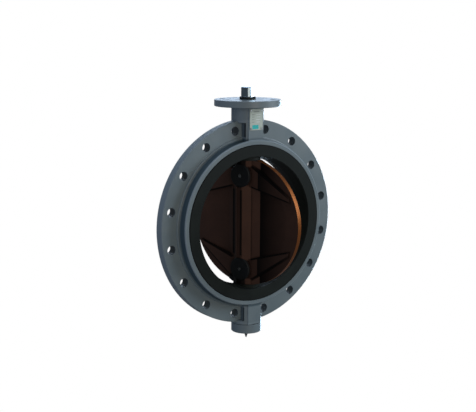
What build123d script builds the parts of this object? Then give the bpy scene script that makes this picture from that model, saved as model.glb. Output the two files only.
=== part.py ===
from build123d import *
import os
from math import cos, radians, sin, sqrt

# Butterfly valve, single-flange pattern, nominal bore 350 mm, pressure class PN 10.
# Millimetres and degrees. Y runs along the pipe, Z up the stem, X across.
# The origin is the centre of the bore, at the middle of the flange's thickness.

# Pipe flange and hub of the casting
FLANGE_RADIUS = 252.5
FLANGE_HALF = 12.25
FLANGE_CHAMFER = 1.5
BOLT_CIRCLE = 230.0
BOLT_COUNT = 16
BOLT_HOLE_RADIUS = 11.0
HUB_RADIUS = 204.0
HUB_HALF = 38.0
HUB_CHAMFER = 2.5
STEP_RADIUS = 212.0
STEP_HALF = 16.0
STEP_FILLET = 3.5

# Inner limit of the rough casting, inside the seat bore that is cut last
CASTING_INNER = 156.0

# Rubber seat
SEAT_BORE = 163.5
SEAT_CROWN = 158.1
SEAT_CROWN_HALF = 10.0
SEAT_SLOPE_END = 34.0
SEAT_CROWN_FILLET = 12.0
SEAT_OUTER = 176.0
LIP_RADIUS = 192.3
LIP_GAP = 0.8
LIP_DEPTH = 9.0
FACE_HALF = 39.0
SEAT_PAD_RADIUS = 33.0
SEAT_PAD_HEIGHT = 154.0

# Neck, top flange and lower boss
NECK_RADIUS = 39.5
NECK_PAD_HALF = 22.0
NECK_PAD_FACE = 36.0
TOP_FLANGE_RADIUS = 81.0
TOP_FLANGE_LOW = 284.0
TOP_FACE = 300.0
TOP_FILLET = 5.0
ACTUATOR_CIRCLE = 62.5
ACTUATOR_HOLE_RADIUS = 7.0
POCKET_WALL = 26.0
POCKET_TOP = 245.5
POCKET_CORNER = 5.0
BOSS_RADIUS = 37.5
BOSS_PAD_HALF = 19.0
BOSS_PAD_FACE = 35.0
BOSS_LOW = 255.0
BOSS_COLLAR = 12.0
CORE_RADIUS = 20.0
EDGE_BREAK = 1.0

# Stem and trunnion: journals in the bushes, and a smaller drive end for the actuator
JOURNAL_RADIUS = 16.0
DRIVE_RADIUS = 15.8
DRIVE_LOW = 307.0
RUNNING_GAP = 0.05
STEM_TOP = 330.0
SHAFT_INNER_END = 85.0
TRUNNION_END = 246.0
KEYWAY_WIDTH = 10.0
KEYWAY_DEPTH = 5.0
KEYWAY_LOW = 308.0
KEYWAY_HIGH = 326.0
CENTRE_DRILL_RADIUS = 3.0
STEM_SEAM_ANGLE = 36.0

# Stack inside the neck, as heights above the bore centre
LINER_RING_HEIGHT = 178.0
INNER_BUSH = (180.2, 225.0)
PACKING_HEIGHTS = (227.5, 232.5, 237.5)
OUTER_BUSH = (240.0, 280.0)
SNAP_RING = (281.0, 283.0)
RETAINING_RING = (285.0, 287.0)
DUST_RING = (289.0, 306.5)
DUST_RING_RADIUS = 19.5
RING_MAJOR = 18.0
RING_MINOR = 1.85
SNAP_RING_OUTER = 19.0
SNAP_GROOVE_RADIUS = 13.9
RETAINING_INNER = 17.0
RETAINING_GROOVE_RADIUS = 21.4
RING_GAP = 7.0

# Bottom cover
COVER_RADIUS = 37.5
GASKET = 1.0
COVER_THICKNESS = 22.0
SPIGOT_TOP = 250.6
THRUST_WASHER = (246.3, 250.5)
THRUST_WASHER_RADIUS = 18.0
COVER_SCREW_CIRCLE = 28.0
COVER_SCREW_COUNT = 4
SCREW_RADIUS = 4.0
SCREW_HEAD_RADIUS = 6.5
SCREW_HEAD_HEIGHT = 8.0
SCREW_REACH = 15.0
PLUG_THREAD_RADIUS = 5.0
PLUG_HEAD_RADIUS = 6.5
PLUG_COLLAR = 4.0
PLUG_TIP = 298.0
PLUG_REACH = 14.0

# Disc, drawn closed with its ribbed face towards -Y, then turned to its resting angle
REST_ANGLE = -72.5
DISC_RADIUS = 157.5
RIM_HALF = 6.5
WEB_HALF = 9.5
WEB_RADIUS = 125.0
HUB_FLAT_HEIGHT = 153.5
CROWN_HALF = 7.0
CROWN_HEIGHT = 32.0
SHOULDER_HALF = 28.0
SHOULDER_HEIGHT = 18.0
FOOT_HALF = 48.0
SEAM_RADIUS = 1.3
ARM_ROOT_REACH = 34.0
ARM_ROOT_HEIGHT = 22.0
ARM_TIP_REACH = 150.0
ARM_TIP_HEIGHT = 10.0
ARM_EDGE = 2.0
PIN_HEIGHT = 116.0
CAP_RADIUS = 28.5
CAP_BASE = 24.0
CAP_FACE = 30.0
CAP_EDGE = 1.5
CAP_SCREW_RADIUS = 3.0
CAP_SCREW_HEAD = 4.5
CAP_SCREW_HEAD_DEPTH = 3.0
CAP_SCREW_REACH = 10.0
PIN_BIG_RADIUS = 7.0
PIN_SMALL_RADIUS = 6.1
PIN_BIG_END = 20.0
PIN_SMALL_END = 25.0
CAP_RING_MAJOR = 18.0
CAP_RING_MINOR = 1.4
CAP_RING_GROOVE = 1.6

# Nameplate
PLATE_WIDTH = 38.0
PLATE_LOW = 228.0
PLATE_HIGH = 279.0
PLATE_THICKNESS = 1.0
RIVET_RADIUS = 1.6
RIVET_HEAD_RADIUS = 2.6
RIVET_HEAD_HEIGHT = 0.9
RIVET_REACH = 6.0
RIVET_INSET = 3.5

CLEARANCE = 0.03
BOTTOM = (Align.CENTER, Align.CENTER, Align.MIN)


def upright(radius, low, high, x=0.0, y=0.0):
    """Cylinder about a vertical axis, from height low to height high."""
    return Pos(x, y, low) * Cylinder(radius, high - low, align=BOTTOM)


def lengthwise(radius, front, back, x=0.0, z=0.0):
    """Cylinder along the pipe, from front to back."""
    return Pos(x, front, z) * Rot(X=-90) * Cylinder(radius, back - front, align=BOTTOM)


def block(x, y, z):
    """Box between two limits on each axis."""
    middle = ((x[0] + x[1]) / 2, (y[0] + y[1]) / 2, (z[0] + z[1]) / 2)
    return Pos(*middle) * Box(x[1] - x[0], y[1] - y[0], z[1] - z[0])


def rounded(profile, corner, radius):
    """Profile with the corners that lie at the given point filleted."""
    chosen = [v for v in profile.vertices() if abs(v.X - corner[0]) + abs(abs(v.Y) - corner[1]) < 0.01]
    return fillet(chosen, radius)


def turned_about_pipe(points):
    """Ring turned about the pipe axis from (radius, y) points with y above 0, mirrored about y = 0."""
    mirrored = [(radius, -y) for radius, y in reversed(points)]
    return make_face(Polyline(*points, *mirrored, close=True))


def turned_about_stem(points):
    """Face in the XZ plane from (radius, height) points, ready to be turned about the stem axis."""
    return make_face(Polyline(*points, close=True))


def split_ring(inner, outer, low, high, gap_angle):
    """Circlip: flat ring with a gap."""
    ring = upright(outer, low, high) - upright(inner, low, high)
    gap = block((inner - 1, outer + 1), (-RING_GAP / 2, RING_GAP / 2), (low - 1, high + 1))
    return ring - Rot(Z=gap_angle) * gap


def o_ring(major, minor, height):
    return Pos(0, 0, height) * Torus(major, minor)


def around(count, radius, first_angle):
    """Points evenly spaced on a circle, as (across, along) pairs."""
    angles = [radians(first_angle + 360 * i / count) for i in range(count)]
    return [(radius * cos(a), radius * sin(a)) for a in angles]


def flange_bolt_points():
    """Flange holes straddle the vertical centreline."""
    return around(BOLT_COUNT, BOLT_CIRCLE, 180 / BOLT_COUNT)


def casting_ring():
    points = [
        (CASTING_INNER, HUB_HALF),
        (HUB_RADIUS - HUB_CHAMFER, HUB_HALF),
        (HUB_RADIUS, HUB_HALF - HUB_CHAMFER),
        (HUB_RADIUS, STEP_HALF),
        (STEP_RADIUS, STEP_HALF),
        (STEP_RADIUS, FLANGE_HALF),
        (FLANGE_RADIUS - FLANGE_CHAMFER, FLANGE_HALF),
        (FLANGE_RADIUS, FLANGE_HALF - FLANGE_CHAMFER),
    ]
    profile = turned_about_pipe(points)
    profile = rounded(profile, (HUB_RADIUS, STEP_HALF), STEP_FILLET)
    profile = rounded(profile, (STEP_RADIUS, STEP_HALF), STEP_FILLET)
    return revolve(profile, Axis.Y)


def neck():
    points = [
        (0, CASTING_INNER),
        (NECK_RADIUS, CASTING_INNER),
        (NECK_RADIUS, TOP_FLANGE_LOW),
        (TOP_FLANGE_RADIUS - EDGE_BREAK, TOP_FLANGE_LOW),
        (TOP_FLANGE_RADIUS, TOP_FLANGE_LOW + EDGE_BREAK),
        (TOP_FLANGE_RADIUS, TOP_FACE - EDGE_BREAK),
        (TOP_FLANGE_RADIUS - EDGE_BREAK, TOP_FACE),
        (0, TOP_FACE),
    ]
    profile = rounded(turned_about_stem(points), (NECK_RADIUS, TOP_FLANGE_LOW), TOP_FILLET)
    barrel = revolve(Plane.XZ * profile, Axis.Z)
    pad = block(
        (-NECK_PAD_HALF, NECK_PAD_HALF),
        (-NECK_PAD_FACE, NECK_PAD_FACE),
        (SEAT_OUTER, TOP_FLANGE_LOW + EDGE_BREAK),
    )
    barrel -= pad_trim(NECK_RADIUS, NECK_PAD_FACE, SEAT_OUTER, TOP_FLANGE_LOW - TOP_FILLET)
    return barrel + pad


def pad_trim(radius, face, low, high):
    """Slabs that take a round barrel down to its flat pads, front and back."""
    front = block((-radius, radius), (-radius - 1, -face), (low, high))
    return front + mirror(front, Plane.XZ)


def lower_boss():
    barrel = upright(BOSS_RADIUS, -BOSS_LOW, -CASTING_INNER)
    barrel -= pad_trim(BOSS_RADIUS, BOSS_PAD_FACE, -BOSS_LOW, -SEAT_OUTER)
    pad = block(
        (-BOSS_PAD_HALF, BOSS_PAD_HALF),
        (-BOSS_PAD_FACE, BOSS_PAD_FACE),
        (-BOSS_LOW, -SEAT_OUTER),
    )
    return barrel + pad


def wrench_pockets():
    """Straight-walled clearance beside the neck and boss for the heads of the nearest flange bolts."""
    outer = 2 * NECK_RADIUS
    corner = (POCKET_WALL + POCKET_CORNER, POCKET_TOP - POCKET_CORNER)
    pockets = []
    for depth in ((-2 * HUB_HALF, -FLANGE_HALF), (FLANGE_HALF, 2 * HUB_HALF)):
        upper = lengthwise(POCKET_CORNER, *depth, *corner)
        upper += block((corner[0], outer), depth, (SEAT_OUTER, POCKET_TOP))
        upper += block((POCKET_WALL, outer), depth, (SEAT_OUTER, corner[1]))
        collar = block((0, outer), depth, (-2 * BOSS_LOW, -BOSS_LOW + BOSS_COLLAR))
        for pocket in (upper, mirror(upper, Plane.XY) - collar):
            pockets += [pocket, mirror(pocket, Plane.YZ)]
    return pockets


def nameplate_points():
    across = PLATE_WIDTH / 2 - RIVET_INSET
    heights = (PLATE_LOW + RIVET_INSET, PLATE_HIGH - RIVET_INSET)
    return [(x, z) for x in (-across, across) for z in heights]


def body_casting():
    added = neck() + lower_boss()
    for pocket in wrench_pockets():
        added -= pocket
    body = casting_ring() + added
    body -= lengthwise(SEAT_OUTER, -2 * HUB_HALF, 2 * HUB_HALF)
    recess = LIP_RADIUS + LIP_GAP
    body -= lengthwise(recess, -2 * HUB_HALF, -FACE_HALF + LIP_DEPTH)
    body -= lengthwise(recess, FACE_HALF - LIP_DEPTH, 2 * HUB_HALF)
    body -= upright(CORE_RADIUS, -BOSS_LOW - 1, TOP_FACE + 1)
    body -= upright(RETAINING_GROOVE_RADIUS, RETAINING_RING[0] - 0.1, RETAINING_RING[1] + 0.1)
    for x, z in flange_bolt_points():
        body -= lengthwise(BOLT_HOLE_RADIUS, -2 * HUB_HALF, 2 * HUB_HALF, x, z)
    for x, y in around(4, ACTUATOR_CIRCLE, 45):
        body -= upright(ACTUATOR_HOLE_RADIUS, TOP_FLANGE_LOW - 20, TOP_FACE + 1, x, y)
    for x, y in around(COVER_SCREW_COUNT, COVER_SCREW_CIRCLE, 45):
        body -= upright(SCREW_RADIUS + CLEARANCE, -BOSS_LOW - 1, -BOSS_LOW + SCREW_REACH + 3, x, y)
    face = -NECK_PAD_FACE
    for x, z in nameplate_points():
        body -= lengthwise(RIVET_RADIUS + CLEARANCE, face - 1, face + RIVET_REACH + 1, x, z)
    return body


def seat_liner():
    """Moulded seat: a crowned bore that the disc's rim meets, flat pads round the shafts, and two lips."""
    lip_back = FACE_HALF - LIP_DEPTH
    points = [
        (SEAT_CROWN, SEAT_CROWN_HALF),
        (SEAT_BORE, SEAT_SLOPE_END),
        (SEAT_BORE, FACE_HALF - EDGE_BREAK),
        (SEAT_BORE + EDGE_BREAK, FACE_HALF),
        (LIP_RADIUS - EDGE_BREAK, FACE_HALF),
        (LIP_RADIUS, FACE_HALF - EDGE_BREAK),
        (LIP_RADIUS, lip_back),
        (SEAT_OUTER, lip_back),
    ]
    profile = rounded(turned_about_pipe(points), (SEAT_CROWN, SEAT_CROWN_HALF), SEAT_CROWN_FILLET)
    profile = rounded(profile, (SEAT_BORE, SEAT_SLOPE_END), SEAT_CROWN_FILLET / 2)
    liner = revolve(profile, Axis.Y)
    for side in (1, -1):
        low, high = sorted((side * SEAT_PAD_HEIGHT, side * (SEAT_BORE + 4)))
        liner += upright(SEAT_PAD_RADIUS, low, high)
    return liner - upright(JOURNAL_RADIUS + RUNNING_GAP, -2 * SEAT_OUTER, 2 * SEAT_OUTER)


def bush(low, high):
    outer = upright(CORE_RADIUS - CLEARANCE, low, high)
    return outer - upright(JOURNAL_RADIUS + RUNNING_GAP, low, high)


def dust_seal_ring():
    low, high = DUST_RING
    ring = upright(DUST_RING_RADIUS, TOP_FACE, high) + upright(CORE_RADIUS - CLEARANCE, low, TOP_FACE)
    ring = chamfer(ring.faces().sort_by(Axis.Z)[-1].edges(), EDGE_BREAK)
    return ring - upright(JOURNAL_RADIUS + RUNNING_GAP, low, high)


def bottom_cover():
    top = -BOSS_LOW - GASKET
    low = top - COVER_THICKNESS
    flange = upright(COVER_RADIUS, low, top)
    flange = chamfer(flange.edges().filter_by(GeomType.CIRCLE), EDGE_BREAK)
    cover = flange + upright(CORE_RADIUS - 0.1, top, -SPIGOT_TOP)
    for x, y in around(COVER_SCREW_COUNT, COVER_SCREW_CIRCLE, 45):
        cover -= upright(SCREW_RADIUS + 0.5, low - 1, top + 1, x, y)
        cover -= upright(SCREW_HEAD_RADIUS + 0.5, low - 1, low + SCREW_HEAD_HEIGHT + 1, x, y)
    return cover - upright(PLUG_THREAD_RADIUS + CLEARANCE, low - 1, low + PLUG_REACH + 0.5)


def bottom_cover_screws():
    seat = -BOSS_LOW - GASKET - COVER_THICKNESS + SCREW_HEAD_HEIGHT + 1
    shank = upright(SCREW_RADIUS, seat, -BOSS_LOW + SCREW_REACH)
    head = upright(SCREW_HEAD_RADIUS, seat - SCREW_HEAD_HEIGHT, seat)
    socket = Pos(0, 0, seat - SCREW_HEAD_HEIGHT) * extrude(RegularPolygon(3.5, 6), 4.5)
    screw = head + shank - socket
    return Compound([Pos(x, y, 0) * screw for x, y in around(COVER_SCREW_COUNT, COVER_SCREW_CIRCLE, 45)])


def bottom_gasket():
    top = -BOSS_LOW
    gasket = upright(COVER_RADIUS - 1, top - GASKET, top) - upright(CORE_RADIUS, top - GASKET, top)
    for x, y in around(COVER_SCREW_COUNT, COVER_SCREW_CIRCLE, 45):
        gasket -= upright(SCREW_RADIUS + 0.5, top - 2 * GASKET, top + GASKET, x, y)
    return gasket


def bottom_plug():
    """Threaded plug whose head is a short collar and a tapered point."""
    low = -BOSS_LOW - GASKET - COVER_THICKNESS
    collar_low = low - PLUG_COLLAR
    points = [
        (0, low + PLUG_REACH),
        (PLUG_THREAD_RADIUS, low + PLUG_REACH),
        (PLUG_THREAD_RADIUS, low),
        (PLUG_HEAD_RADIUS, low),
        (PLUG_HEAD_RADIUS, collar_low),
        (1.2, -PLUG_TIP + 1),
        (0, -PLUG_TIP),
    ]
    return revolve(Plane.XZ * turned_about_stem(points), Axis.Z)


def nameplate():
    face = -NECK_PAD_FACE
    plate = block(
        (-PLATE_WIDTH / 2, PLATE_WIDTH / 2),
        (face - PLATE_THICKNESS, face),
        (PLATE_LOW, PLATE_HIGH),
    )
    plate = fillet(plate.edges().filter_by(Axis.Y), 2)
    for x, z in nameplate_points():
        plate -= lengthwise(RIVET_RADIUS + CLEARANCE, face - 2 * PLATE_THICKNESS, face + 1, x, z)
    return plate


def nameplate_rivets():
    head_front = -NECK_PAD_FACE - PLATE_THICKNESS - RIVET_HEAD_HEIGHT
    rivets = []
    for x, z in nameplate_points():
        head = lengthwise(RIVET_HEAD_RADIUS, head_front, head_front + RIVET_HEAD_HEIGHT, x, z)
        head = chamfer(head.edges().group_by(Axis.Y)[0], 0.5)
        rivets.append(head + lengthwise(RIVET_RADIUS, head_front + 0.5, -NECK_PAD_FACE + RIVET_REACH, x, z))
    return Compound(rivets)


def taper(extra, side):
    """Taper pin across the shaft, big end towards the ribbed face; extra widens it to make its hole."""
    length = PIN_BIG_END + PIN_SMALL_END
    cone = Cone(PIN_BIG_RADIUS + extra, PIN_SMALL_RADIUS + extra, length, align=BOTTOM)
    return Pos(0, -PIN_BIG_END, side * PIN_HEIGHT) * Rot(X=-90) * cone


def disc_web():
    """Round plate that thins towards a spherical rim, turned about the pipe axis."""
    rim = sqrt(DISC_RADIUS**2 - RIM_HALF**2)
    front = Polyline((0, -WEB_HALF), (WEB_RADIUS, -WEB_HALF), (rim, -RIM_HALF))
    edge = ThreePointArc((rim, -RIM_HALF), (DISC_RADIUS, 0), (rim, RIM_HALF))
    back = Polyline((rim, RIM_HALF), (WEB_RADIUS, WEB_HALF), (0, WEB_HALF), (0, -WEB_HALF))
    return revolve(make_face(Curve() + [front, edge, back]), Axis.Y)


def disc_hub():
    """Faceted ridge along the shafts, with a shallow seam line along each facet edge."""
    quarter = [(CROWN_HALF, CROWN_HEIGHT), (SHOULDER_HALF, SHOULDER_HEIGHT), (FOOT_HALF, WEB_HALF - 0.5)]
    right = quarter + [(x, -y) for x, y in reversed(quarter)]
    left = [(-x, -y) for x, y in right]
    section = make_face(Polyline(*right, *left, close=True))
    hub = Pos(0, 0, -HUB_FLAT_HEIGHT) * extrude(section, 2 * HUB_FLAT_HEIGHT)
    for x, y in quarter[:-1]:
        for sx in (-1, 1):
            for sy in (-1, 1):
                hub -= upright(SEAM_RADIUS, -HUB_FLAT_HEIGHT - 1, HUB_FLAT_HEIGHT + 1, sx * x, sy * y)
    return hub


def disc_arm(grow):
    """One tapered arm, up and to the right on the ribbed face, from inside the plate to its own height."""
    outline = [(0, 90 - grow), (28, 90 - grow), (50, 84 - grow), (135, 60 - grow), (132, 72 + grow)]
    outline += [(34, 138 + grow), (0, 138 + grow)]
    flat = Plane.XZ * make_face(Polyline(*outline, close=True))
    slab = extrude(flat, 2 * ARM_ROOT_HEIGHT)
    side = [(-1, 0), (-1, ARM_ROOT_HEIGHT - grow), (ARM_ROOT_REACH, ARM_ROOT_HEIGHT - grow)]
    side += [(ARM_TIP_REACH, ARM_TIP_HEIGHT - grow), (ARM_TIP_REACH, 0)]
    wedge = Pos(0, 0, 50) * extrude(make_face(Polyline(*[(x, -y) for x, y in side], close=True)), 100)
    return slab & wedge


def disc_arms():
    """Four arms on each face; each has a narrow ledge along its foot."""
    arm = disc_arm(0) + disc_arm(ARM_EDGE)
    pair = arm + mirror(arm, Plane.YZ)
    front = pair + mirror(pair, Plane.XY)
    return front + mirror(front, Plane.XZ)


def disc():
    body = disc_web() + disc_hub() + disc_arms()
    for side in (1, -1):
        body += lengthwise(CAP_RADIUS + 2.5, -CAP_BASE, 0, 0, side * PIN_HEIGHT)
    body &= Sphere(DISC_RADIUS)
    body &= block((-DISC_RADIUS, DISC_RADIUS), (-DISC_RADIUS, DISC_RADIUS), (-HUB_FLAT_HEIGHT, HUB_FLAT_HEIGHT))
    for side in (1, -1):
        z = side * PIN_HEIGHT
        body -= lengthwise(CAP_RADIUS + 0.3, -2 * CAP_FACE, -CAP_BASE, 0, z)
        groove = lengthwise(CAP_RING_MAJOR + CAP_RING_GROOVE, -CAP_BASE - 1, -CAP_BASE + 2.9, 0, z)
        groove -= lengthwise(CAP_RING_MAJOR - CAP_RING_GROOVE, -CAP_BASE - 1, -CAP_BASE + 2.9, 0, z)
        body -= groove
        low, high = sorted((side * (SHAFT_INNER_END - 2), side * (HUB_FLAT_HEIGHT + 1)))
        body -= upright(JOURNAL_RADIUS + RUNNING_GAP, low, high)
        body -= taper(CLEARANCE, side)
        body -= lengthwise(PIN_BIG_RADIUS + 1, -CAP_BASE - 1, -PIN_BIG_END, 0, z)
    return body


def drive_stem():
    """Turned stem with a keyway in its drive end, clear of the seam of the turned surface."""
    points = [
        (0, SHAFT_INNER_END),
        (JOURNAL_RADIUS - EDGE_BREAK, SHAFT_INNER_END),
        (JOURNAL_RADIUS, SHAFT_INNER_END + EDGE_BREAK),
        (JOURNAL_RADIUS, SNAP_RING[0] - 0.05),
        (SNAP_GROOVE_RADIUS, SNAP_RING[0] - 0.05),
        (SNAP_GROOVE_RADIUS, SNAP_RING[1] + 0.05),
        (JOURNAL_RADIUS, SNAP_RING[1] + 0.05),
        (JOURNAL_RADIUS, DRIVE_LOW - 0.2),
        (DRIVE_RADIUS, DRIVE_LOW),
        (DRIVE_RADIUS, STEM_TOP - EDGE_BREAK),
        (DRIVE_RADIUS - EDGE_BREAK, STEM_TOP),
        (CENTRE_DRILL_RADIUS, STEM_TOP),
        (0, STEM_TOP - CENTRE_DRILL_RADIUS),
    ]
    stem = Rot(Z=STEM_SEAM_ANGLE) * revolve(Plane.XZ * turned_about_stem(points), Axis.Z)
    floor = DRIVE_RADIUS - KEYWAY_DEPTH
    keyway = block(
        (-DRIVE_RADIUS - 1, -floor),
        (-KEYWAY_WIDTH / 2, KEYWAY_WIDTH / 2),
        (KEYWAY_LOW, KEYWAY_HIGH),
    )
    return stem - keyway - taper(CLEARANCE, 1)


def trunnion_shaft():
    shaft = upright(JOURNAL_RADIUS, -TRUNNION_END, -SHAFT_INNER_END)
    shaft = chamfer(shaft.edges().filter_by(GeomType.CIRCLE), EDGE_BREAK)
    return shaft - taper(CLEARANCE, -1)


def taper_pin(side):
    """Taper pin with a tapped hole for the cap screw in its big end."""
    pin = taper(0, side)
    bottom = -PIN_BIG_END + CAP_SCREW_REACH + 1
    z = side * PIN_HEIGHT
    return pin - lengthwise(CAP_SCREW_RADIUS + CLEARANCE, -PIN_BIG_END - 1, bottom, 0, z)


def pin_cap(side):
    z = side * PIN_HEIGHT
    cap = lengthwise(CAP_RADIUS, -CAP_FACE, -CAP_BASE - 0.02, 0, z)
    cap = chamfer(cap.edges().group_by(Axis.Y)[0], CAP_EDGE)
    cap -= lengthwise(CAP_SCREW_RADIUS + 0.3, -CAP_FACE - 1, -CAP_BASE + 1, 0, z)
    return cap - lengthwise(CAP_SCREW_HEAD + 0.2, -CAP_FACE - 1, -CAP_FACE + CAP_SCREW_HEAD_DEPTH, 0, z)


def pin_cap_screws():
    screws = []
    for side in (1, -1):
        z = side * PIN_HEIGHT
        seat = -CAP_FACE + CAP_SCREW_HEAD_DEPTH
        head = lengthwise(CAP_SCREW_HEAD, -CAP_FACE, seat, 0, z)
        shank = lengthwise(CAP_SCREW_RADIUS, seat - 1, -PIN_BIG_END + CAP_SCREW_REACH, 0, z)
        socket = Pos(0, -CAP_FACE, z) * Rot(X=-90) * extrude(RegularPolygon(2.2, 6), 2)
        screws.append(head + shank - socket)
    return Compound(screws)


def pin_cap_o_rings():
    ring = Rot(X=90) * Torus(CAP_RING_MAJOR, CAP_RING_MINOR)
    height = -CAP_BASE + CAP_RING_MINOR + 0.05
    return Compound([Pos(0, height, side * PIN_HEIGHT) * ring for side in (1, -1)])


def liner_o_rings():
    return Compound([o_ring(RING_MAJOR, RING_MINOR, side * LINER_RING_HEIGHT) for side in (1, -1)])


def stem_packing():
    return Compound([o_ring(RING_MAJOR, RING_MINOR, height) for height in PACKING_HEIGHTS])


def thrust_washer():
    low, high = -THRUST_WASHER[1], -THRUST_WASHER[0]
    return upright(THRUST_WASHER_RADIUS, low, high)


def neck_retaining_ring():
    return split_ring(RETAINING_INNER, RETAINING_GROOVE_RADIUS - 0.1, *RETAINING_RING, 90)


def stem_snap_ring():
    return split_ring(SNAP_GROOVE_RADIUS + CLEARANCE, SNAP_RING_OUTER, *SNAP_RING, 0)


def fixed_pieces():
    return {
        "body_casting": body_casting(),
        "seat_liner": seat_liner(),
        "liner_o_rings": liner_o_rings(),
        "inner_neck_bush": bush(*INNER_BUSH),
        "stem_packing_rings": stem_packing(),
        "outer_neck_bush": bush(*OUTER_BUSH),
        "neck_retaining_ring": neck_retaining_ring(),
        "dust_seal_ring": dust_seal_ring(),
        "trunnion_bush": bush(-TRUNNION_END + 6, -INNER_BUSH[0]),
        "thrust_washer": thrust_washer(),
        "bottom_gasket": bottom_gasket(),
        "bottom_cover": bottom_cover(),
        "bottom_cover_screws": bottom_cover_screws(),
        "bottom_plug": bottom_plug(),
        "nameplate": nameplate(),
        "nameplate_rivets": nameplate_rivets(),
    }


def turning_pieces():
    """Pieces that turn with the stem, drawn with the disc closed."""
    return {
        "disc": disc(),
        "drive_stem": drive_stem(),
        "trunnion_shaft": trunnion_shaft(),
        "upper_taper_pin": taper_pin(1),
        "lower_taper_pin": taper_pin(-1),
        "upper_pin_cap": pin_cap(1),
        "lower_pin_cap": pin_cap(-1),
        "pin_cap_screws": pin_cap_screws(),
        "pin_cap_o_rings": pin_cap_o_rings(),
        "stem_snap_ring": stem_snap_ring(),
    }


def main():
    os.makedirs("parts", exist_ok=True)
    pieces = fixed_pieces()
    for name, piece in turning_pieces().items():
        pieces[name] = Rot(Z=REST_ANGLE) * piece
    for name, piece in pieces.items():
        export_step(piece, "parts/" + name + ".step")


main()
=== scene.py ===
from math import cos, hypot, pi, radians, sin

import bmesh
import bpy
import numpy as np
from mathutils import Matrix, Vector


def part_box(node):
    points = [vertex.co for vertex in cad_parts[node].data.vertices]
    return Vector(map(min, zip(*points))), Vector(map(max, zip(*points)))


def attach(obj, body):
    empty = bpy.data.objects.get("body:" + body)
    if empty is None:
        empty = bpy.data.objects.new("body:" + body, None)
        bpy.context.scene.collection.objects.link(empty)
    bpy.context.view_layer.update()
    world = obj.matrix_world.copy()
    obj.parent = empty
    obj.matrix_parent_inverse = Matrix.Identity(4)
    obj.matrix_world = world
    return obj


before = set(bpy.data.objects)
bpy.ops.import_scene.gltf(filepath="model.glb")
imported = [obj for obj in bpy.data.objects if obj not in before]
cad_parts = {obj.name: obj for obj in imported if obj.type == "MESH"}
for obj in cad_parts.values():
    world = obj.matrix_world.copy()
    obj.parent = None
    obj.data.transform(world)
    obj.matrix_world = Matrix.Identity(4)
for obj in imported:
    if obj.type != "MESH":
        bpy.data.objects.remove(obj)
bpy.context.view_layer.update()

MM = 0.001
BODY = "valve_body"
TURNING = "disc_and_stem"
REST_ANGLE = -72.5


# ---------------------------------------------------------------- places that the finishes and the painted shade follow
# Each is from..to in millimetres: radii from the pipe's axis, depths from the middle of the body along
# the pipe, widths to each side of the stem, and heights above or below the pipe's axis.

FLANGE_RIM = (250.8, 253)
BOLT_HOLE_RADII = (218, 242)
BOLT_HOLE_DEPTH = (0, 11.4)
HUB_SIDE = (203.4, 207)
HUB_SIDE_DEPTH = (17, 34.5)
HUB_CORNER = (201.2, 204.5)
HUB_CORNER_DEPTH = (35.4, 38.2)
POCKET_WIDTH = (25.8, 40)
POCKET_HEIGHT = (176, 245.2)
POCKET_RADII = (214, 300)
POCKET_WALL_DEPTH = (12.7, 60)
POCKET_EDGE_DEPTH = (24.5, 60)
LIP_EDGE = (190.6, 193)

# On the disc, widths run across its face, heights along its shaft and depths from the middle of its
# thickness, a line is two (width, height) points, and the sphere and the fading of the painted shade are from
# the disc's centre.
DISC_RIM_SPHERE = (156.8, 157.3)
RUBBED_RIM = (0, 5.9)
# The arms' edges and the hub's shoulders, seams and ends below take painted shade.
ARM_OUTER_EDGE = ((34, 138), (132, 72))
ARM_INNER_EDGE = ((50, 84), (135, 60))
ARM_LENGTH = (30, 133)
HUB_SHOULDER = (-30, -18)
HUB_FAR_SHOULDER = (27.2, 28.6)
HUB_MIDDLE_SEAM = (3.0, 7.4)
HUB_SEAM_HEIGHT = (0, 80)
HUB_END_WIDTH = (-46, 14)
HUB_END_HEIGHT = (136, 170)
# Where the hub's shadow is painted on one side of the disc, and how it fades out.
HUB_SHADOW_WIDTH = (48, 200)
HUB_SHADOW_FADES = (50, 120)
# How the painted shade on the disc thins towards the rim.
SHADE_FADES = (140, 153)


# ---------------------------------------------------------------- colours, nodes and masks

def linear(hex_colour):
    """sRGB hex colour as linear red, green, blue and alpha."""
    parts = [int(hex_colour[i:i + 2], 16) / 255 for i in (1, 3, 5)]
    return [p / 12.92 if p <= 0.04045 else ((p + 0.055) / 1.055) ** 2.4 for p in parts] + [1.0]


def add(tree, kind, inputs=None, **settings):
    """Adds one node with its settings. Each input, under its socket's name or number, is a value, a hex
    colour or the output that is linked to it."""
    made = tree.nodes.new(kind)
    for name, value in settings.items():
        setattr(made, name, value)
    for place, value in (inputs or {}).items():
        if isinstance(value, bpy.types.NodeSocket):
            tree.links.new(value, made.inputs[place])
        elif isinstance(value, str):
            made.inputs[place].default_value = linear(value)
        else:
            made.inputs[place].default_value = value
    return made


def new_material(name):
    """An empty material and its node tree."""
    material = bpy.data.materials.new(name)
    material.use_nodes = True
    material.node_tree.nodes.clear()
    return material, material.node_tree


def finish_material(tree, inputs, kind="ShaderNodeBsdfPrincipled"):
    """Ends a material with its shader."""
    shader = add(tree, kind, inputs)
    add(tree, "ShaderNodeOutputMaterial", {"Surface": shader.outputs[0]})


def ramp(low, high, at_low, at_high):
    """Inputs that carry low..high over to at_low..at_high, held at the ends."""
    return {"From Min": low, "From Max": high, "To Min": at_low, "To Max": at_high}


def band(tree, value, reach_mm, soft_mm):
    """1 where the value lies between the two ends of the reach, fading to 0 over soft_mm outside it."""
    low, high = (end * MM for end in reach_mm)
    soft = soft_mm * MM
    rising = add(tree, "ShaderNodeMapRange", {"Value": value, **ramp(low - soft, low, 0.0, 1.0)})
    falling = add(tree, "ShaderNodeMapRange", {"Value": value, **ramp(high, high + soft, 1.0, 0.0)})
    return overlap(tree, rising.outputs["Result"], falling.outputs["Result"])


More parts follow.
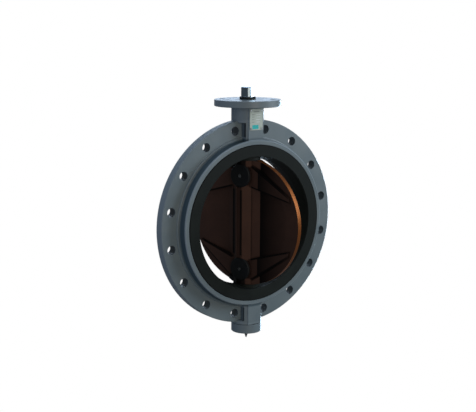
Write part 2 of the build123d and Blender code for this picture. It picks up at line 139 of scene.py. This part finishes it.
def overlap(tree, *masks):
    """Masks and amounts multiplied together: what is left where all of them meet."""
    total = masks[0]
    for mask in masks[1:]:
        total = add(tree, "ShaderNodeMath", {0: total, 1: mask}, operation="MULTIPLY").outputs[0]
    return total


def strongest(tree, *masks):
    """The greatest of several masks at each point."""
    total = masks[0]
    for mask in masks[1:]:
        total = add(tree, "ShaderNodeMath", {0: total, 1: mask}, operation="MAXIMUM").outputs[0]
    return total


def coat(tree, below, colour, *masks):
    """The colour below, coated with another as far as all the masks let it. Sockets 6 and 7 of a mix
    are its two colours, and output 2 is the mixed one."""
    share = overlap(tree, *masks)
    return add(tree, "ShaderNodeMix", {0: share, 6: below, 7: colour}, data_type="RGBA").outputs[2]


def blotches(tree, point, size_mm, detail, low, high, at_low=0.0, at_high=1.0, roughness=0.55):
    """Noise with blotches about size_mm across, its values low..high carried over to at_low..at_high."""
    noise = add(tree, "ShaderNodeTexNoise", {
        "Vector": point, "Scale": 1 / (size_mm * MM), "Detail": detail, "Roughness": roughness})
    return add(tree, "ShaderNodeMapRange", {
        "Value": noise.outputs["Fac"], **ramp(low, high, at_low, at_high)}).outputs["Result"]


def relief(tree, point, size_mm, detail, depth_mm, strength, roughness=0.55, below=None):
    """Bumps about size_mm across and depth_mm deep, over the relief below if there is one."""
    noise = add(tree, "ShaderNodeTexNoise", {
        "Vector": point, "Scale": 1 / (size_mm * MM), "Detail": detail, "Roughness": roughness})
    inputs = {"Height": noise.outputs["Fac"], "Distance": depth_mm * MM, "Strength": strength}
    if below is not None:
        inputs["Normal"] = below
    return add(tree, "ShaderNodeBump", inputs).outputs["Normal"]


def body_places(tree):
    """A point of the body, its width, depth and height without their signs, and its radius, which is the
    length of what is left of it when its place along the pipe is taken away."""
    point = add(tree, "ShaderNodeTexCoord").outputs["Object"]
    unsigned = add(tree, "ShaderNodeVectorMath", {0: point}, operation="ABSOLUTE").outputs[0]
    across_pipe = add(tree, "ShaderNodeVectorMath", {0: point, 1: (1, 0, 1)}, operation="MULTIPLY").outputs[0]
    radius = add(tree, "ShaderNodeVectorMath", {0: across_pipe}, operation="LENGTH").outputs["Value"]
    return point, add(tree, "ShaderNodeSeparateXYZ", {0: unsigned}).outputs, radius


def on_the_disc(tree, output):
    """Object or Normal coordinates turned about the shaft, so that X runs across the disc's face and Y
    through its thickness."""
    unturned = add(tree, "ShaderNodeTexCoord").outputs[output]
    turned = add(tree, "ShaderNodeVectorRotate", {"Vector": unturned, "Angle": radians(-REST_ANGLE)},
                 rotation_type="Z_AXIS")
    return turned.outputs[0]


def line_distance(tree, unsigned, line):
    """Distance from the line through two points of the disc's face, the same in all four quarters: how
    far a point reaches along the line's normal, less how far the line does."""
    (x1, z1), (x2, z2) = line
    length = hypot(x2 - x1, z2 - z1)
    normal = ((z1 - z2) / length, 0, (x2 - x1) / length)
    reach = add(tree, "ShaderNodeVectorMath", {0: unsigned, 1: normal}, operation="DOT_PRODUCT")
    line_reach = (normal[0] * x1 + normal[2] * z1) * MM
    past = add(tree, "ShaderNodeMath", {0: reach.outputs["Value"], 1: line_reach}, operation="SUBTRACT")
    return add(tree, "ShaderNodeMath", {0: past.outputs[0]}, operation="ABSOLUTE").outputs[0]


# ---------------------------------------------------------------- materials

def epoxy_on_casting():
    """Blue-grey epoxy sprayed on sand-cast ductile iron: satin film over the sand texture, slow drift
    between sprayed passes, painted shade as a darker bluish coat on the sides of the hub, in the pockets and
    in the bolt holes, and a paler line along the turned corners that is partly edge wear, partly painted
    highlight."""
    material, tree = new_material("epoxy_on_sand_cast_iron")
    point, (width, depth, height), radius = body_places(tree)
    drift = blotches(tree, point, 70, 2.0, 0.35, 0.65)
    speck = blotches(tree, point, 2.2, 4.0, 0.62, 0.74, at_high=0.35)
    colour = coat(tree, "#6c7b81", "#778488", drift)
    colour = coat(tree, colour, "#5d6a70", speck)

    # Painted shade: the hub's sides beside the flange darkened to a deep blue.
    hub_side = overlap(tree, band(tree, radius, HUB_SIDE, 4), band(tree, depth, HUB_SIDE_DEPTH, 4))
    colour = coat(tree, colour, "#1e3a47", hub_side, 0.8)
    # Painted shade in the pockets beside the neck: their walls darkened, and darker still farther from the
    # flange face.
    pocket = overlap(tree, band(tree, width, POCKET_WIDTH, 0.3), band(tree, height, POCKET_HEIGHT, 0.8),
                     band(tree, radius, POCKET_RADII, 2))
    colour = coat(tree, colour, "#22343f", pocket, band(tree, depth, POCKET_WALL_DEPTH, 0.3), 0.55)
    colour = coat(tree, colour, "#0c1820", pocket, band(tree, depth, POCKET_EDGE_DEPTH, 2), 0.8)
    # Painted shade in the bores of the bolt holes.
    bolt_holes = overlap(tree, band(tree, radius, BOLT_HOLE_RADII, 0.5),
                         band(tree, depth, BOLT_HOLE_DEPTH, 0.5))
    colour = coat(tree, colour, "#18222a", bolt_holes, 0.65)

    # Paler line on the turned corners of the hub and the flange rim: partly edge wear, partly painted
    # highlight.
    hub_corner = overlap(tree, band(tree, radius, HUB_CORNER, 0.4), band(tree, depth, HUB_CORNER_DEPTH, 0.4))
    flange_corner = overlap(tree, band(tree, radius, FLANGE_RIM, 0.4), 0.4)
    colour = coat(tree, colour, "#93a3ac", strongest(tree, hub_corner, flange_corner), 0.6)

    sand = relief(tree, point, 3.2, 5.0, 0.22, 0.5, roughness=0.6)
    peel = relief(tree, point, 1.1, 1.0, 0.04, 0.6, below=sand)
    gloss = blotches(tree, point, 24, 3.0, 0.3, 0.7, 0.36, 0.5)
    finish_material(tree, {"IOR": 1.52, "Coat Weight": 0.1, "Coat Roughness": 0.3,
                           "Base Color": colour, "Roughness": gloss, "Normal": peel})
    return material


def moulded_epdm(name, dark, light):
    """Moulded EPDM rubber: matt black-grey with a pale bloom, the fine grain of the mould, and painted shade
    along the outer edge of the face lip, where it meets the body."""
    material, tree = new_material(name)
    point, _, radius = body_places(tree)
    bloom = blotches(tree, point, 38, 4.0, 0.35, 0.7, roughness=0.6)
    colour = coat(tree, dark, light, bloom)
    # Painted shade: a near-black line along the outer edge of the face lip.
    colour = coat(tree, colour, "#040606", band(tree, radius, LIP_EDGE, 0.6), 0.75)
    grain = relief(tree, point, 1.4, 3.0, 0.05, 0.5)
    dullness = add(tree, "ShaderNodeMapRange", {"Value": bloom, **ramp(0.0, 1.0, 0.6, 0.72)})
    finish_material(tree, {"IOR": 1.5, "Specular IOR Level": 0.22, "Base Color": colour,
                           "Roughness": dullness.outputs["Result"], "Normal": grain})
    return material


def painted_shade_on_the_disc(tree, point, width, from_centre):
    """Painted shade, near black: on the steep walls, along the arms' edges and in the hub's seams, thinning
    towards the rim, and all of it on the hub's two ends."""
    unsigned = add(tree, "ShaderNodeVectorMath", {0: point}, operation="ABSOLUTE").outputs[0]
    reach, _, height = add(tree, "ShaderNodeSeparateXYZ", {0: unsigned}).outputs
    facing = add(tree, "ShaderNodeVectorMath", {0: on_the_disc(tree, "Normal")}, operation="ABSOLUTE")
    flat = add(tree, "ShaderNodeSeparateXYZ", {0: facing.outputs[0]}).outputs["Y"]
    steep = add(tree, "ShaderNodeMapRange", {"Value": flat, **ramp(0.35, 0.7, 1.0, 0.0)}).outputs["Result"]

    on_an_arm = band(tree, reach, ARM_LENGTH, 3)
    from_outer = line_distance(tree, unsigned, ARM_OUTER_EDGE)
    from_inner = line_distance(tree, unsigned, ARM_INNER_EDGE)
    outer = overlap(tree, band(tree, from_outer, (0, 2.0), 1.6), on_an_arm)
    inner = overlap(tree, band(tree, from_inner, (0, 1.2), 1.4), on_an_arm)
    shoulders = strongest(tree, band(tree, width, HUB_SHOULDER, 1.5),
                          overlap(tree, band(tree, width, HUB_FAR_SHOULDER, 1.0), 0.35))
    seams = strongest(tree, shoulders, overlap(tree, band(tree, width, HUB_MIDDLE_SEAM, 1.2), 0.9))
    seams = overlap(tree, seams, band(tree, height, HUB_SEAM_HEIGHT, 2))

    fades_from, fades_to = (end * MM for end in SHADE_FADES)
    fading = add(tree, "ShaderNodeMapRange", {"Value": from_centre, **ramp(fades_from, fades_to, 0.94, 0.35)})
    painted_shade = overlap(tree, strongest(tree, outer, inner, seams, steep), fading.outputs["Result"])
    ends = overlap(tree, band(tree, width, HUB_END_WIDTH, 3), band(tree, height, HUB_END_HEIGHT, 5), 0.95)
    return strongest(tree, painted_shade, ends)


def cast_bronze():
    """Aluminium bronze disc: sand-cast faces dulled brown by handling, the hub's shadow painted near black on
    one side of it, painted shade in the corners of the arms and the hub, and a rim turned to a sphere that is
    rubbed to bright orange metal where it meets the seat."""
    material, tree = new_material("sand_cast_aluminium_bronze")
    point = on_the_disc(tree, "Object")
    width, depth, _ = add(tree, "ShaderNodeSeparateXYZ", {0: point}).outputs
    from_centre = add(tree, "ShaderNodeVectorMath", {0: point}, operation="LENGTH").outputs["Value"]
    unsigned_depth = add(tree, "ShaderNodeMath", {0: depth}, operation="ABSOLUTE").outputs[0]

    patina = blotches(tree, point, 45, 5.0, 0.3, 0.72, roughness=0.6)
    colour = coat(tree, "#4e382f", "#5b4136", patina)
    # Painted shadow of the hub on one side of the disc, near black beside it and fading outwards.
    shadow_from, shadow_to = (end * MM for end in HUB_SHADOW_FADES)
    hub_shadow_strength = add(tree, "ShaderNodeMapRange", {"Value": width, **ramp(shadow_from, shadow_to, 0.95, 0.2)})
    colour = coat(tree, colour, "#0f0d0d", hub_shadow_strength.outputs["Result"], band(tree, width, HUB_SHADOW_WIDTH, 1))
    # Painted shade in the corners of the arms and the hub, and on the hub's ends.
    colour = coat(tree, colour, "#060606", painted_shade_on_the_disc(tree, point, width, from_centre))

    sphere_from, sphere_to = (end * MM for end in DISC_RIM_SPHERE)
    turned = add(tree, "ShaderNodeMapRange", {"Value": from_centre, **ramp(sphere_from, sphere_to, 0.0, 1.0)})
    rubbed = overlap(tree, turned.outputs["Result"], band(tree, unsigned_depth, RUBBED_RIM, 0.8))
    colour = coat(tree, colour, "#8c4e18", rubbed)

    sand = relief(tree, point, 2.4, 5.0, 0.22, 0.5, roughness=0.62)
    dull = add(tree, "ShaderNodeMapRange", {"Value": patina, **ramp(0.0, 1.0, 0.52, 0.64)}).outputs["Result"]
    rubbed_gloss = 0.42
    gloss = add(tree, "ShaderNodeMix", {0: rubbed, 2: dull, 3: rubbed_gloss}).outputs[0]
    finish_material(tree, {"Metallic": 0.75, "Base Color": colour, "Roughness": gloss, "Normal": sand})
    return material


def turned_metal(name, dark, light, roughness, ring_mm=0.9):
    """Metal turned or ground on a lathe: fine rings along its axis, drawn coarser than real ones so that
    they show, with a faint stain."""
    material, tree = new_material(name)
    point = add(tree, "ShaderNodeTexCoord").outputs["Object"]
    stain = blotches(tree, point, 16, 4.0, 0.3, 0.7)
    height = add(tree, "ShaderNodeSeparateXYZ", {0: point}).outputs["Z"]
    rings = add(tree, "ShaderNodeTexNoise", {"W": height, "Scale": 1 / (ring_mm * MM), "Detail": 3.0},
                noise_dimensions="1D")
    mark_depth = 0.015 * MM
    marks = add(tree, "ShaderNodeBump", {
        "Height": rings.outputs["Fac"], "Distance": mark_depth, "Strength": 0.6})
    gloss = add(tree, "ShaderNodeMapRange", {
        "Value": stain, **ramp(0.0, 1.0, roughness * 0.85, roughness * 1.2)}).outputs["Result"]
    finish_material(tree, {"Metallic": 1.0, "Base Color": coat(tree, dark, light, stain),
                           "Roughness": gloss, "Normal": marks.outputs["Normal"]})
    return material


def moulded_cap():
    """Black glass-filled nylon cap: matt, with a slightly mottled skin."""
    material, tree = new_material("moulded_black_nylon")
    point = add(tree, "ShaderNodeTexCoord").outputs["Object"]
    mottle = blotches(tree, point, 9, 4.0, 0.3, 0.7)
    skin = relief(tree, point, 1.2, 2.0, 0.04, 0.5)
    gloss = add(tree, "ShaderNodeMapRange", {"Value": mottle, **ramp(0.0, 1.0, 0.58, 0.7)}).outputs["Result"]
    finish_material(tree, {"IOR": 1.53, "Specular IOR Level": 0.35,
                           "Base Color": coat(tree, "#0d1114", "#15191b", mottle),
                           "Roughness": gloss, "Normal": skin})
    return material


def brushed_plate():
    """Satin aluminium nameplate: brushed along its length, under a clear anodised skin."""
    material, tree = new_material("brushed_anodised_aluminium")
    point = add(tree, "ShaderNodeTexCoord").outputs["Object"]
    width_mm, length_mm = 0.5, 14
    scale = (1 / (width_mm * MM), 1 / (width_mm * MM), 1 / (length_mm * MM))
    stretched = add(tree, "ShaderNodeMapping", {"Vector": point, "Scale": scale}).outputs[0]
    brush = add(tree, "ShaderNodeTexNoise", {"Vector": stretched, "Scale": 1.0, "Detail": 3.0}).outputs["Fac"]
    streaks = add(tree, "ShaderNodeMapRange", {"Value": brush, **ramp(0.3, 0.7, 0.0, 1.0)}).outputs["Result"]
    gloss = add(tree, "ShaderNodeMapRange", {"Value": brush, **ramp(0.3, 0.7, 0.42, 0.55)}).outputs["Result"]
    lines = add(tree, "ShaderNodeBump", {"Height": brush, "Distance": 0.02 * MM, "Strength": 0.5})
    finish_material(tree, {"Metallic": 0.75, "Base Color": coat(tree, "#adb4a8", "#c0c7bb", streaks),
                           "Roughness": gloss, "Normal": lines.outputs["Normal"]})
    return material


def printed_ink(name, hex_colour, faded):
    """Screen-printed ink on the nameplate, a little uneven where the screen left it thin."""
    material, tree = new_material(name)
    point = add(tree, "ShaderNodeTexCoord").outputs["Object"]
    colour = coat(tree, hex_colour, faded, blotches(tree, point, 3, 3.0, 0.3, 0.7))
    finish_material(tree, {"Roughness": 0.45, "IOR": 1.5, "Base Color": colour})
    return material


def paint(node, material):
    """Gives all the slots of a node one material."""
    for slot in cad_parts[node].material_slots:
        slot.link = "OBJECT"
        slot.material = material


# ---------------------------------------------------------------- surfaces

def surface(name, grid, close_v=False, smooth=True):
    """Mesh from a grid of points, rows by columns, whose rows can close on themselves."""
    rows, columns = grid.shape[:2]
    mesh = bpy.data.meshes.new(name)
    i, j = np.meshgrid(np.arange(rows - 1), np.arange(columns if close_v else columns - 1), indexing="ij")
    next_j = (j + 1) % columns
    corners = [i * columns + j, i * columns + next_j, (i + 1) * columns + next_j, (i + 1) * columns + j]
    faces = np.stack([c.ravel() for c in corners], axis=1)
    mesh.from_pydata(grid.reshape(-1, 3).tolist(), [], faces.tolist())
    mesh.polygons.foreach_set("use_smooth", [smooth] * len(mesh.polygons))
    mesh.update()
    made = bpy.data.objects.new(name, mesh)
    bpy.context.scene.collection.objects.link(made)
    return made


def slab(name, edge, through):
    """Thin film: its front edge, a row of points, carried through its thickness by one vector, and each
    of its two faces closed with a fan to its middle."""
    back = edge + through
    front_middle, back_middle = (0 * edge + ring.mean(axis=0) for ring in (edge, back))
    made = surface(name, np.stack([front_middle, edge, back, back_middle]), close_v=True, smooth=False)
    merge(made)
    return made


def merge(piece):
    """Joins the points that lie together, such as a fan's middle, and turns the faces outwards."""
    mesh = bmesh.new()
    mesh.from_mesh(piece.data)
    bmesh.ops.remove_doubles(mesh, verts=mesh.verts, dist=1e-7)
    bmesh.ops.recalc_face_normals(mesh, faces=mesh.faces)
    mesh.to_mesh(piece.data)
    mesh.free()


def rounded_outline(x, z, half_width, half_height, corner):
    """Rectangle with round corners: each corner is a quarter circle of the given radius."""
    quarter = np.linspace(0, pi / 2, 6)
    points = []
    for turn, (sx, sz) in enumerate(((1, 1), (-1, 1), (-1, -1), (1, -1))):
        angle = quarter + turn * pi / 2
        points.append(np.stack([
            x + sx * (half_width - corner) + corner * np.cos(angle),
            z + sz * (half_height - corner) + corner * np.sin(angle),
        ], axis=-1))
    return np.concatenate(points)


def dress(piece, material, body):
    """Gives a new piece its material, in a slot of its own, and the body it rides on."""
    piece.data.materials.append(material)
    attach(piece, body)


def nameplate_print():
    """Generic print on the nameplate: a title bar, four rows of a label and a value, and one coloured
    patch, each a film of ink a tenth of a millimetre proud of the plate and let into it a little. Places
    are shares of the plate: x from its middle to its edge, z from its foot to its top. Sizes are in
    millimetres, half of each."""
    low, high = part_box("nameplate")
    middle, half = (low.x + high.x) / 2, (high.x - low.x) / 2
    proud, thickness, corner = 0.1 * MM, 0.15 * MM, 0.3 * MM

    def field(name, x, z, half_width, half_height, ink):
        centre = (middle + x * half, low.z + z * (high.z - low.z))
        outline = rounded_outline(*centre, half_width * MM, half_height * MM, corner)
        edge = np.insert(outline, 1, low.y - proud, axis=1)
        dress(slab(name, edge, (0, thickness, 0)), ink, BODY)

    field("plate_colour_patch", -0.15, 0.15, 9.2, 4.8, teal_ink)
    field("plate_title_bar", 0.0, 0.87, 9.0, 1.6, grey_ink)
    for row in range(4):
        z = 0.74 - row * 0.12
        field(f"plate_label_{row + 1}", -0.5, z, 3.6, 0.9, grey_ink)
        field(f"plate_value_{row + 1}", 0.3, z, 6.2 - row % 2, 0.7, pale_ink)


def parting_lines():
    """Low half-round flash lines left on the neck and the lower boss where the mould halves met: an oval
    section carried straight up the casting, half of it buried. It tapers out at both ends as the square
    root of 1 less the eighth power of its place along the line, from -1 to 1."""
    half_rise, half_width = 0.5, 0.9
    for name, reach, foot, top in (("neck", 39.5, 256.0, 278.5), ("boss", 37.5, -254.0, -251.5)):
        for sign, side in ((-1, "left"), (1, "right")):
            up = np.linspace(0, 1, 40)[:, None]
            around = np.linspace(0, 2 * pi, 16, endpoint=False)[None, :]
            swell = np.sqrt(np.clip(1 - (2 * up - 1) ** 8, 0, 1))
            grid = np.stack([
                sign * reach + half_rise * swell * np.cos(around),
                half_width * swell * np.sin(around),
                foot + (top - foot) * up + 0 * around,
            ], axis=-1) * MM
            line = surface(f"parting_line_{name}_{side}", grid, close_v=True)
            merge(line)
            dress(line, epoxy, BODY)


def stem_mark():
    """Painted line across the end of the stem that shows how the disc stands: a thin bar on each side of
    the centre drill, along the disc's width, with its middle a little over half way out to the edge."""
    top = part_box("drive_stem")[1].z
    proud, buried = 0.08 * MM, 0.05 * MM
    across = np.array([cos(radians(REST_ANGLE)), sin(radians(REST_ANGLE)), 0])
    beside = np.array([-across[1], across[0], 0])
    outline = rounded_outline(9 * MM, 0, 4.5 * MM, 0.8 * MM, 0.3 * MM)
    for sign, end in ((1, "a"), (-1, "b")):
        edge = sign * outline[:, :1] * across + outline[:, 1:] * beside + (0, 0, top + proud)
        bar = slab(f"stem_position_mark_{end}", edge, (0, 0, -proud - buried))
        dress(bar, pale_ink, TURNING)


# ---------------------------------------------------------------- stage

def area_light(name, place, aim, size, energy, colour, glossy=True, only=None):
    """Soft rectangular lamp; it can be kept out of reflections, or light one node only."""
    data = bpy.data.lights.new(name, "AREA")
    data.shape = "RECTANGLE"
    data.size, data.size_y = size
    data.energy = energy
    data.color = linear(colour)[:3]
    lamp = bpy.data.objects.new(name, data)
    lamp.location = place
    lamp.visible_camera = False
    lamp.visible_glossy = glossy
    lamp.rotation_euler = (Vector(aim) - Vector(place)).to_track_quat("-Z", "Y").to_euler()
    bpy.context.scene.collection.objects.link(lamp)
    if only:
        lit = bpy.data.collections.new(name + "_lights_only")
        lit.objects.link(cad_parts[only])
        lamp.light_linking.receiver_collection = lit


def white_world():
    """Plain white surroundings to look at, with a dim cool fill to light by."""
    world = bpy.data.worlds.new("studio")
    world.use_nodes = True
    tree = world.node_tree
    tree.nodes.clear()
    fill = add(tree, "ShaderNodeBackground", {"Color": "#c3ccd6", "Strength": 0.2})
    seen = add(tree, "ShaderNodeBackground", {"Color": "#ffffff", "Strength": 1.0})
    rays = add(tree, "ShaderNodeLightPath").outputs["Is Camera Ray"]
    both = add(tree, "ShaderNodeMixShader", {0: rays, 1: fill.outputs[0], 2: seen.outputs[0]})
    add(tree, "ShaderNodeOutputWorld", {"Surface": both.outputs[0]})
    bpy.context.scene.world = world


def floor():
    """Plain white floor well below the valve, a flat sheet that neither lights nor shades it."""
    half, height = 30.0, -1.2
    near, far = ([[-half, y, height], [half, y, height]] for y in (-half, half))
    plane = surface("floor", np.array([near, far]), smooth=False)
    material, tree = new_material("pale_studio_floor")
    finish_material(tree, {"Color": "#ffffff", "Strength": 1.0}, "ShaderNodeEmission")
    plane.data.materials.append(material)
    plane.visible_diffuse = False
    plane.visible_glossy = False
    plane.visible_shadow = False


def camera():
    """Camera at 35 degrees to the left of the pipe axis and 10 degrees above the horizon."""
    place = Vector((-1.4737, -2.0488, 0.4773))
    azimuth, pitch, roll = radians(-35.2307), radians(9.8892), radians(0.2929)
    ahead = -Vector((sin(azimuth) * cos(pitch), -cos(azimuth) * cos(pitch), sin(pitch)))
    right = ahead.cross(Vector((0, 0, 1))).normalized()
    above = right.cross(ahead)
    turned_right = cos(roll) * right + sin(roll) * above
    turned_above = cos(roll) * above - sin(roll) * right
    data = bpy.data.cameras.new("camera")
    data.sensor_fit = "HORIZONTAL"
    data.sensor_width = 36.0
    data.lens = 78.62
    data.clip_end = 100.0
    made = bpy.data.objects.new("camera", data)
    turn = Matrix((turned_right, turned_above, -ahead)).transposed().to_4x4()
    made.matrix_world = Matrix.Translation(place) @ turn
    bpy.context.scene.collection.objects.link(made)
    bpy.context.scene.camera = made


# ---------------------------------------------------------------- the valve

epoxy = epoxy_on_casting()
rubber = moulded_epdm("moulded_epdm", "#0f1613", "#1a211e")
seal = moulded_epdm("moulded_nitrile_seal", "#161c1e", "#20282a")
bronze = cast_bronze()
cap_nylon = moulded_cap()
stem_steel = turned_metal("ground_stainless_steel", "#788c99", "#98a8b2", 0.2)
bush_bronze = turned_metal("turned_tin_bronze", "#9a7446", "#b58a55", 0.35)
zinc_steel = turned_metal("zinc_plated_steel", "#9a9d9c", "#b4b6b3", 0.32)
spring_steel = turned_metal("blackened_spring_steel", "#2c2f31", "#3b3e40", 0.4)
plug_steel = turned_metal("turned_carbon_steel", "#6a6f72", "#85898b", 0.35)
plate = brushed_plate()
rivet = turned_metal("drawn_aluminium", "#b7bab9", "#cfd1cf", 0.3)
teal_ink = printed_ink("teal_screen_ink", "#06b4b4", "#38cfc8")
grey_ink = printed_ink("grey_screen_ink", "#8a938c", "#979f98")
pale_ink = printed_ink("pale_screen_ink", "#c9d0cc", "#d8ddda")

for names, material in (
    (("body_casting", "bottom_cover"), epoxy),
    (("seat_liner",), rubber),
    (("liner_o_rings", "stem_packing_rings", "dust_seal_ring", "bottom_gasket", "pin_cap_o_rings"), seal),
    (("inner_neck_bush", "outer_neck_bush", "trunnion_bush", "thrust_washer"), bush_bronze),
    (("neck_retaining_ring", "stem_snap_ring"), spring_steel),
    (("bottom_cover_screws", "pin_cap_screws"), zinc_steel),
    (("bottom_plug",), plug_steel),
    (("nameplate",), plate),
    (("nameplate_rivets",), rivet),
    (("disc",), bronze),
    (("drive_stem", "trunnion_shaft", "upper_taper_pin", "lower_taper_pin"), stem_steel),
    (("upper_pin_cap", "lower_pin_cap"), cap_nylon),
):
    for node_name in names:
        paint(node_name, material)

nameplate_print()
parting_lines()
stem_mark()

white_world()
floor()
camera()
area_light("key", (2.4, -1.6, 1.0), (0, 0, 0), (1.6, 1.6), 52, "#e6f1ff")
area_light("rim", (2.0, 1.5, -0.42), (0, 0, -0.1), (1.2, 1.3), 95, "#c6e0f6")
area_light("top", (-0.3, 0.5, 2.6), (0, 0, 0), (2.2, 2.2), 24, "#dfeaff")
area_light("horizon", (1.35, 2.05, 0.78), (0, 0, 0.3), (3.0, 0.9), 26, "#d2e6ff")
area_light("front", (-0.6, -3.2, 0.6), (0, 0, 0), (2.0, 1.6), 25, "#fff1e0")
area_light("left", (-2.6, -0.2, 0.2), (0, 0, 0), (1.6, 1.6), 12, "#b9c6ee", glossy=False)
area_light("stem_sheen", (0.45, -0.2, 0.32), (0, 0, 0.32), (0.7, 0.4), 22, "#f4f9ff", only="drive_stem")

bpy.context.scene.view_settings.view_transform = "Standard"
